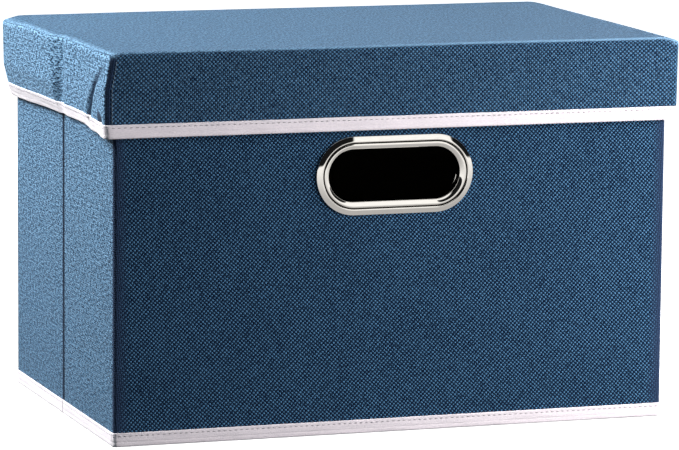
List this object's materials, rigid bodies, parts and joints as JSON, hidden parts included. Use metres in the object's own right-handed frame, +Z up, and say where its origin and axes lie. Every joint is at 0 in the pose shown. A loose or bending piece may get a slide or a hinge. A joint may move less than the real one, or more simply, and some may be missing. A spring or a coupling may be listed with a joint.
{
  "type": "fabric storage bin",
  "caption": "Collapsible rectangular fabric storage bin with stiffened folding walls, metal-ringed hand holes, a lift-up base board and a lift-off fabric lid.",
  "frame": {"origin": "centre of the underside, on the surface that the bin stands on", "axes": "+X along the bin's width, -Y towards its front, +Z up"},
  "size_m": [0.3892, 0.2492, 0.255],
  "materials": {
    "blue_weave": "coarse plain-woven polyester, slubby, matte",
    "lining": "thin black non-woven lining, matte",
    "binding": "white non-woven binding tape, stitched",
    "base_cloth": "black non-woven cover of the base, matte",
    "board": "pressed grey-brown chipboard",
    "nickel": "polished nickel plate"
  },
  "bodies": {
    "back_wall": {"back_base_tape": "binding", "back_board": "board", "back_fabric": "blue_weave", "back_handle_backing": "nickel", "back_handle_ring": "nickel", "back_lining": "lining", "back_rim_tape": "binding", "left_rear_corner_seam": "binding", "right_rear_corner_seam": "binding", "fabric_floor": "blue_weave", "base_hinge_strip": "base_cloth"},
    "front_wall": {"front_base_tape": "binding", "front_board": "board", "front_fabric": "blue_weave", "front_handle_backing": "nickel", "front_handle_ring": "nickel", "front_lining": "lining", "front_rim_tape": "binding", "left_front_corner_seam": "binding", "right_front_corner_seam": "binding"},
    "left_rear": {"left_rear_base_tape": "binding", "left_rear_board": "board", "left_rear_fabric": "blue_weave", "left_rear_lining": "lining", "left_rear_rim_tape": "binding"},
    "left_front": {"left_front_base_tape": "binding", "left_front_board": "board", "left_front_fabric": "blue_weave", "left_front_lining": "lining", "left_front_rim_tape": "binding"},
    "right_rear": {"right_rear_base_tape": "binding", "right_rear_board": "board", "right_rear_fabric": "blue_weave", "right_rear_lining": "lining", "right_rear_rim_tape": "binding"},
    "right_front": {"right_front_base_tape": "binding", "right_front_board": "board", "right_front_fabric": "blue_weave", "right_front_lining": "lining", "right_front_rim_tape": "binding"},
    "base": {"base_board": "board", "base_cover": "base_cloth", "base_pull_tab": "base_cloth"},
    "lid": {"lid_back_skirt_board": "board", "lid_cover": "blue_weave", "lid_front_skirt_board": "board", "lid_hem_tape": "binding", "lid_left_skirt": "blue_weave", "lid_lining": "lining", "lid_right_skirt": "blue_weave", "lid_top_board": "board"}
  },
  "joints": [
    {"name": "fold", "type": "hinge", "parent": "back_wall", "child": "left_rear", "pos_m": [-0.1866, 0.109, 0.125], "axis": [0, 0, 1], "range_deg": [0, 90], "deforming": ["front_base_tape", "left_rear_base_tape", "left_front_base_tape", "right_rear_base_tape", "right_front_base_tape", "fabric_floor"]},
    {"name": "left_crease", "type": "hinge", "parent": "left_rear", "child": "left_front", "pos_m": [-0.1909, 0, 0.125], "axis": [0, 0, 1], "range_deg": [-180, 0]},
    {"name": "front_hinge", "type": "hinge", "parent": "left_front", "child": "front_wall", "pos_m": [-0.1866, -0.109, 0.125], "axis": [0, 0, 1], "range_deg": [0, 90]},
    {"name": "right_rear_hinge", "type": "hinge", "parent": "back_wall", "child": "right_rear", "pos_m": [0.1866, 0.109, 0.125], "axis": [0, 0, 1], "range_deg": [-90, 0]},
    {"name": "right_crease", "type": "hinge", "parent": "right_rear", "child": "right_front", "pos_m": [0.1909, 0, 0.125], "axis": [0, 0, 1], "range_deg": [0, 180]},
    {"name": "base_flip", "type": "hinge", "parent": "back_wall", "child": "base", "pos_m": [0, 0.1134, 0.0042], "axis": [-1, 0, 0], "range_deg": [0, 90]},
    {"name": "lid_lift", "type": "slide", "parent": "back_wall", "child": "lid", "axis": [0, 0, 1], "range_m": [0, 0.12]}
  ],
  "couplings": [
    {"joint": "left_crease", "follows": "fold", "ratio": -2},
    {"joint": "front_hinge", "follows": "fold", "ratio": 1},
    {"joint": "right_rear_hinge", "follows": "fold", "ratio": -1},
    {"joint": "right_crease", "follows": "fold", "ratio": 2}
  ]
}
